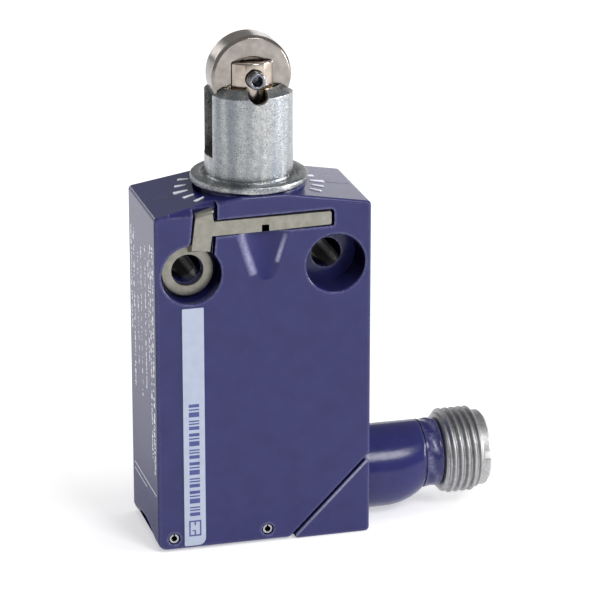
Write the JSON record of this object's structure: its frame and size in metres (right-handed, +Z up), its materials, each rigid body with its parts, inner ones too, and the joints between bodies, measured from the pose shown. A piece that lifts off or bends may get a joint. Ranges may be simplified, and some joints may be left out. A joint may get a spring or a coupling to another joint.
{
  "type": "limit switch",
  "caption": "Miniature metal limit switch with a steel roller plunger head, locking clip and threaded side connector.",
  "frame": {"origin": "middle of the underside of the base cover, below the plunger's axis", "axes": "+Z up along the plunger, +X along the connector, the front face with the label looks along -Y"},
  "size_m": [0.0492, 0.0168, 0.0704],
  "materials": {
    "violet_paint": "satin epoxy powder paint",
    "zinc_plate": "bright zinc plating, slightly pitted",
    "roller_steel": "satin ground steel",
    "bronze": "turned bronze",
    "plunger_steel": "turned and nickel plated",
    "clip_steel": "stamped, dull",
    "dark_steel": "dark drawn steel",
    "spring_steel": "drawn steel",
    "nickel_brass": "matt nickel plated brass",
    "gold_plate": "gold plated brass",
    "contact_copper": "copper alloy strip",
    "black_rubber": "matt",
    "dark_plastic": "moulded",
    "pale_plastic": "moulded",
    "pusher_plastic": "moulded",
    "label_film": "satin film",
    "wire_sheath": "soft sheath"
  },
  "bodies": {
    "housing": {"housing": "violet_paint", "base_cover": "violet_paint", "base_gasket": "black_rubber", "roll_pin_left": "spring_steel", "roll_pin_right": "spring_steel", "label": "label_film", "contact_block": "dark_plastic", "contact_block_lid": "dark_plastic", "block_screw_left": "spring_steel", "block_screw_right": "spring_steel", "closed_contact_left": "contact_copper", "closed_contact_right": "contact_copper", "open_contact_left": "contact_copper", "open_contact_right": "contact_copper", "pusher_spring": "spring_steel", "connector_shell": "nickel_brass", "contact_carrier": "pale_plastic", "contact_pin_1": "gold_plate", "inner_wire_1": "wire_sheath", "contact_pin_2": "gold_plate", "inner_wire_2": "wire_sheath", "contact_pin_3": "gold_plate", "inner_wire_3": "wire_sheath", "contact_pin_4": "gold_plate", "inner_wire_4": "wire_sheath"},
    "clip": {"locking_clip": "clip_steel"},
    "head": {"head_sleeve": "zinc_plate", "guide_bush": "bronze", "plunger_seal": "black_rubber", "head_o_ring": "black_rubber", "return_spring": "spring_steel"},
    "plunger": {"plunger": "plunger_steel", "retaining_ring": "spring_steel", "roller_axle": "dark_steel"},
    "roller": {"roller": "roller_steel"},
    "contact_slide": {"contact_pusher": "pusher_plastic", "upper_bridge": "contact_copper", "lower_bridge": "contact_copper", "upper_bridge_spring": "spring_steel", "lower_bridge_spring": "spring_steel"}
  },
  "joints": [
    {"name": "head_turn", "type": "hinge", "parent": "housing", "child": "head", "pos_m": [0, 0, 0.0501], "axis": [0, 0, 1], "continuous": true},
    {"name": "plunger_stroke", "type": "slide", "parent": "head", "child": "plunger", "axis": [0, 0, -1], "range_m": [0, 0.005], "stiffness_N_per_m": 1500, "springref_m": -0.003, "deforming": ["return_spring"]},
    {"name": "roller_spin", "type": "hinge", "parent": "plunger", "child": "roller", "pos_m": [0, 0, 0.0649], "axis": [0, 1, 0], "continuous": true},
    {"name": "contact_travel", "type": "slide", "parent": "housing", "child": "contact_slide", "axis": [0, 0, -1], "range_m": [0, 0.005], "deforming": ["pusher_spring"]},
    {"name": "clip_pull", "type": "slide", "parent": "housing", "child": "clip", "axis": [0, -1, 0], "range_m": [0, 0.006]}
  ],
  "couplings": [
    {"joint": "contact_travel", "follows": "plunger_stroke", "ratio": 1}
  ]
}
